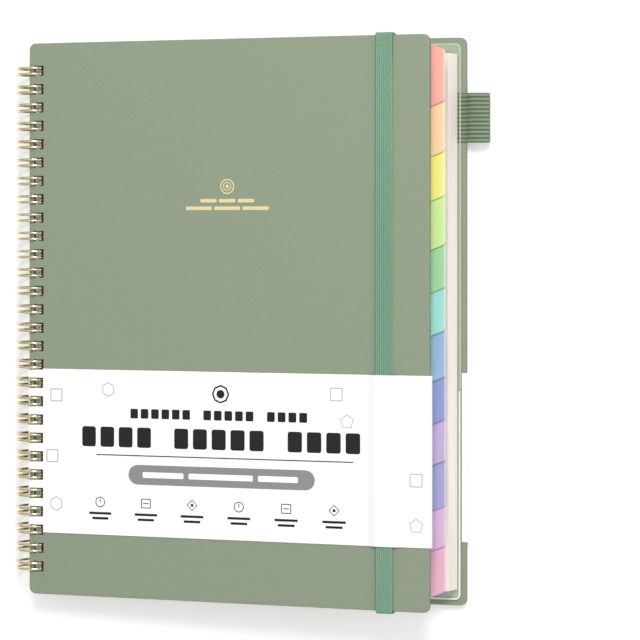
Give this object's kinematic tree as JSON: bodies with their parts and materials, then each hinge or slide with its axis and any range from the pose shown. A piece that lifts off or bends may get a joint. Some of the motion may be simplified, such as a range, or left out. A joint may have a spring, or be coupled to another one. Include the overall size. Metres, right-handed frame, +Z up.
{
  "type": "budget planner",
  "caption": "Wire-bound planner lying flat: board covers, tabbed dividers, page block, paper belly band, elastic closure, pen loop and a clear back pocket.",
  "frame": {"origin": "under the middle of the planner, on the surface that it lies on", "axes": "+Z up out of the front cover, +Y towards the covers' top edge, +X towards the fore-edge"},
  "size_m": [0.223, 0.2564, 0.0313],
  "materials": {
    "leatherette": "matte fine-grained",
    "gold_wire": "bright plated",
    "page_paper": "uncoated",
    "band_paper": "smooth white card",
    "frosted_film": "frosted translucent film",
    "clear_film": "clear film",
    "elastic": "ribbed elastic",
    "webbing": "ribbed elastic webbing",
    "tab_01": "coated tab card",
    "tab_02": "coated tab card",
    "tab_03": "coated tab card",
    "tab_04": "coated tab card",
    "tab_05": "coated tab card",
    "tab_06": "coated tab card",
    "tab_07": "coated tab card",
    "tab_08": "coated tab card",
    "tab_09": "coated tab card",
    "tab_10": "coated tab card",
    "tab_11": "coated tab card",
    "tab_12": "coated tab card"
  },
  "bodies": {
    "binding": {"wire_binding": "gold_wire", "page_block": "page_paper", "divider_01": "tab_01", "divider_02": "tab_02", "divider_03": "tab_03", "divider_04": "tab_04", "divider_05": "tab_05", "divider_06": "tab_06", "divider_07": "tab_07", "divider_08": "tab_08", "divider_09": "tab_09", "divider_10": "tab_10", "divider_11": "tab_11", "divider_12": "tab_12"},
    "front_cover": {"front_cover": "leatherette", "belly_band_front": "band_paper"},
    "back_cover": {"back_cover": "leatherette", "liner_panel": "frosted_film", "back_pocket": "clear_film", "pen_loop": "webbing", "belly_band_back": "band_paper", "elastic_band": "elastic"}
  },
  "joints": [
    {"name": "front_cover_hinge", "type": "hinge", "parent": "binding", "child": "front_cover", "pos_m": [-0.10266, 0, 0.0089], "axis": [0, -1, 0], "range_deg": [0, 175], "deforming": ["elastic_band"]},
    {"name": "back_cover_hinge", "type": "hinge", "parent": "binding", "child": "back_cover", "pos_m": [-0.10266, 0, 0.0089], "axis": [0, 1, 0], "range_deg": [0, 180], "deforming": ["elastic_band"]}
  ]
}
